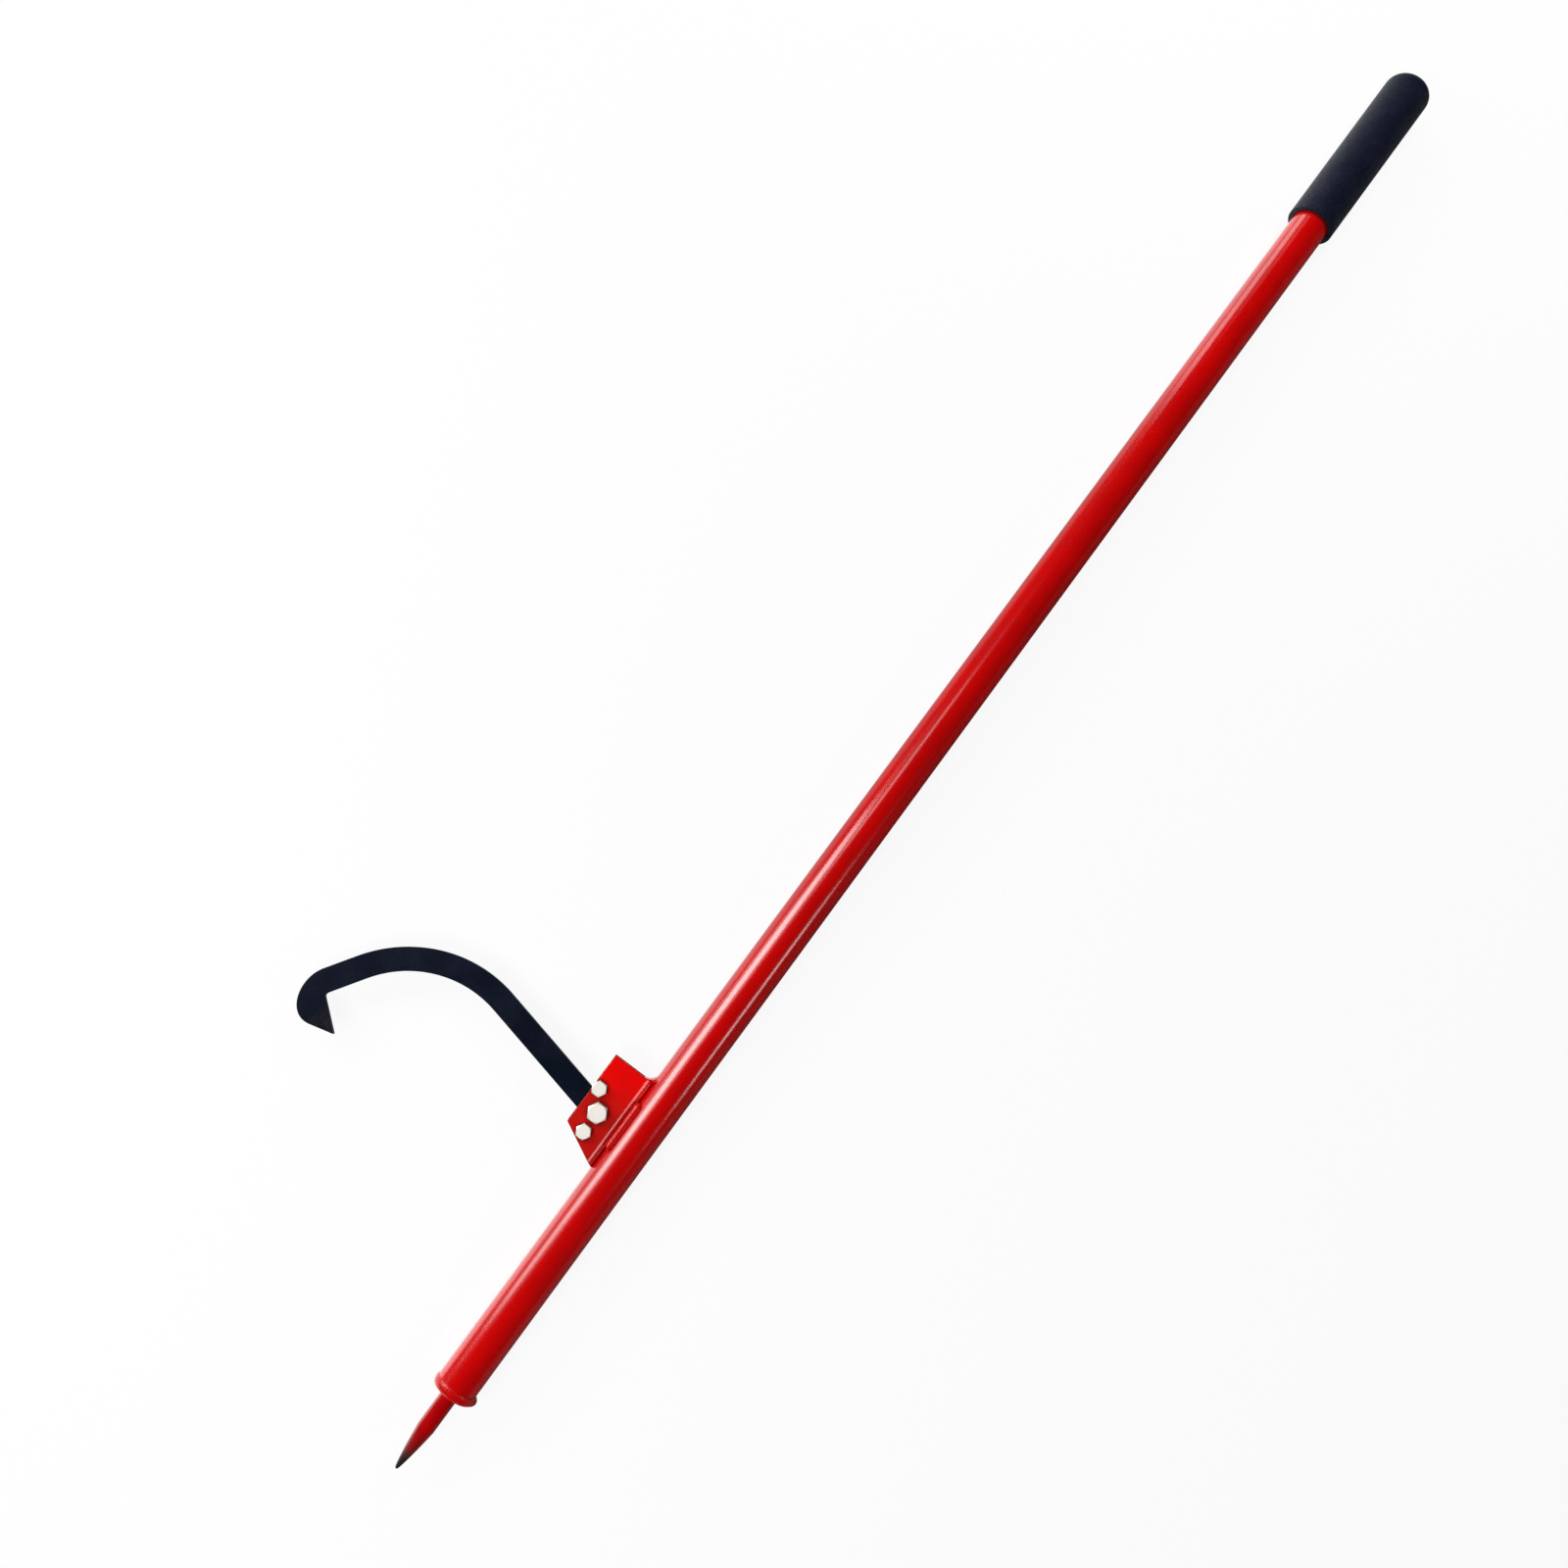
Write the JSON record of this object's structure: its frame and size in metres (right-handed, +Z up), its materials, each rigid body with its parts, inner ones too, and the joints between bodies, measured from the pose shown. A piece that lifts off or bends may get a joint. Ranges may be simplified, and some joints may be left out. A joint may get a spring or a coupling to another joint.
{
  "type": "peavey",
  "caption": "Log-rolling lever: a long red tube handle with a pointed spike, a foam end grip and a swinging flat-bar hook in a welded clevis.",
  "frame": {"origin": "on the ground, below the middle of the space that the lying tool takes", "axes": "+X along the handle from spike to grip, +Y to the hook side, +Z up, along the hook's pivot"},
  "size_m": [1.305, 0.2698, 0.0382],
  "materials": {
    "red_paint": "gloss enamel",
    "black_paint": "satin",
    "foam": "matt closed-cell foam",
    "zinc": "bright zinc plate",
    "nylon": "satin"
  },
  "bodies": {
    "handle": {"handle_tube": "red_paint", "end_cap": "red_paint", "spike": "red_paint", "spike_weld": "red_paint", "cap_weld": "red_paint", "foam_grip": "foam", "hook_bracket": "red_paint", "bracket_weld_front": "red_paint", "bracket_weld_back": "red_paint", "bracket_weld_end": "red_paint", "pivot_bolt": "zinc", "pivot_lock_nut": "zinc", "pivot_nut_insert": "nylon", "upper_stop_bolt": "zinc", "upper_stop_lock_nut": "zinc", "upper_stop_nut_insert": "nylon", "lower_stop_bolt": "zinc", "lower_stop_lock_nut": "zinc", "lower_stop_nut_insert": "nylon"},
    "hook": {"hook": "black_paint"}
  },
  "joints": [
    {"name": "hook_swing", "type": "hinge", "parent": "handle", "child": "hook", "pos_m": [-0.388, -0.0816, 0.0191], "axis": [0, 0, 1], "range_deg": [0, 54]}
  ]
}
